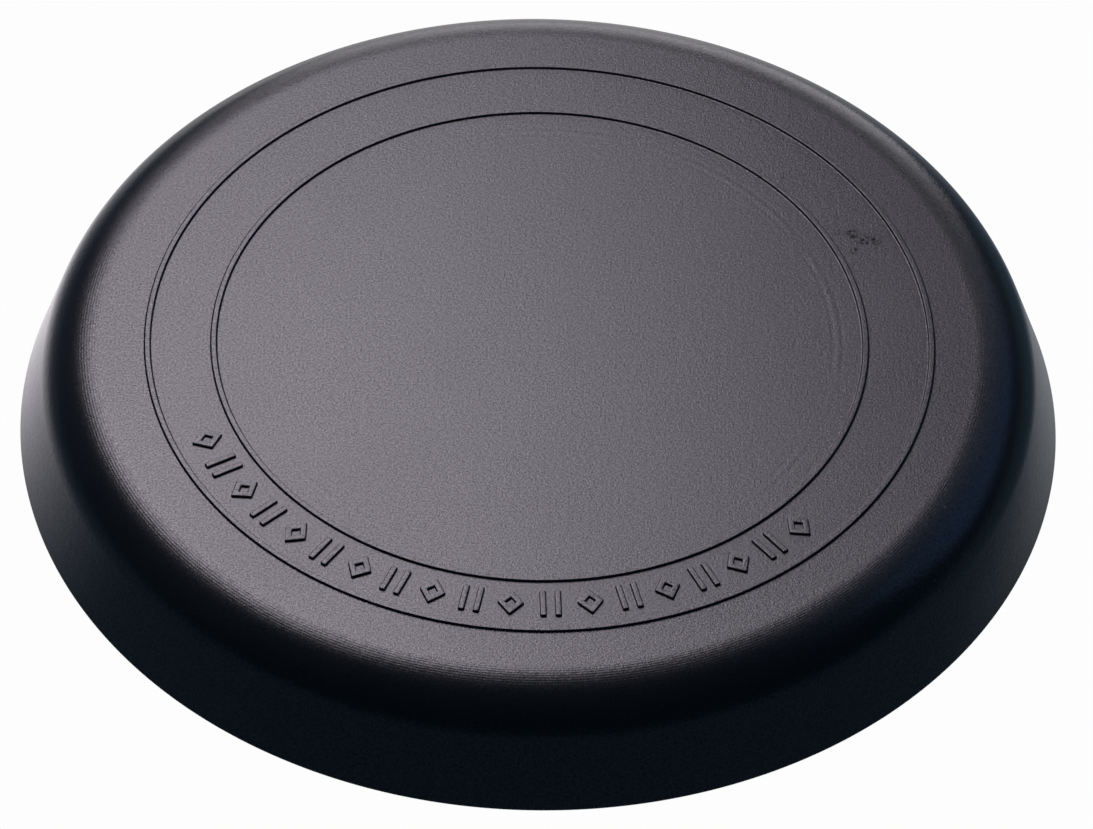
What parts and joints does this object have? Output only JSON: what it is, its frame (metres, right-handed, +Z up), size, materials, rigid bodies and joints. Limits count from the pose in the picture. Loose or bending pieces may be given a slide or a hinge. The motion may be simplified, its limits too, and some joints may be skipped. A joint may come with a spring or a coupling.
{
  "type": "practice pad",
  "caption": "Round black rubber drum practice pad with raised rings, a rounded shoulder and a sloping skirt, on a board with a threaded stand insert and rubber feet.",
  "frame": {"origin": "centre of the base, on the surface that the pad stands on", "axes": "+Z up through the middle of the playing face; the band of raised marks is on the -Y side"},
  "size_m": [0.254, 0.254, 0.0296],
  "materials": {
    "cover_rubber": "satin",
    "foot_rubber": "matte",
    "foam": "matte",
    "fibreboard": "matte",
    "zinc_steel": "satin",
    "screw_steel": "satin"
  },
  "bodies": {
    "root": {"rubber_cover": "cover_rubber", "damping_disc": "foam", "base_board": "fibreboard", "stand_insert": "zinc_steel", "insert_screw_1": "screw_steel", "insert_screw_2": "screw_steel", "insert_screw_3": "screw_steel", "insert_screw_4": "screw_steel", "foot_1": "foot_rubber", "foot_2": "foot_rubber", "foot_3": "foot_rubber", "foot_4": "foot_rubber", "foot_washer_1": "zinc_steel", "foot_washer_2": "zinc_steel", "foot_washer_3": "zinc_steel", "foot_washer_4": "zinc_steel", "foot_screw_1": "screw_steel", "foot_screw_2": "screw_steel", "foot_screw_3": "screw_steel", "foot_screw_4": "screw_steel"}
  },
  "joints": []
}
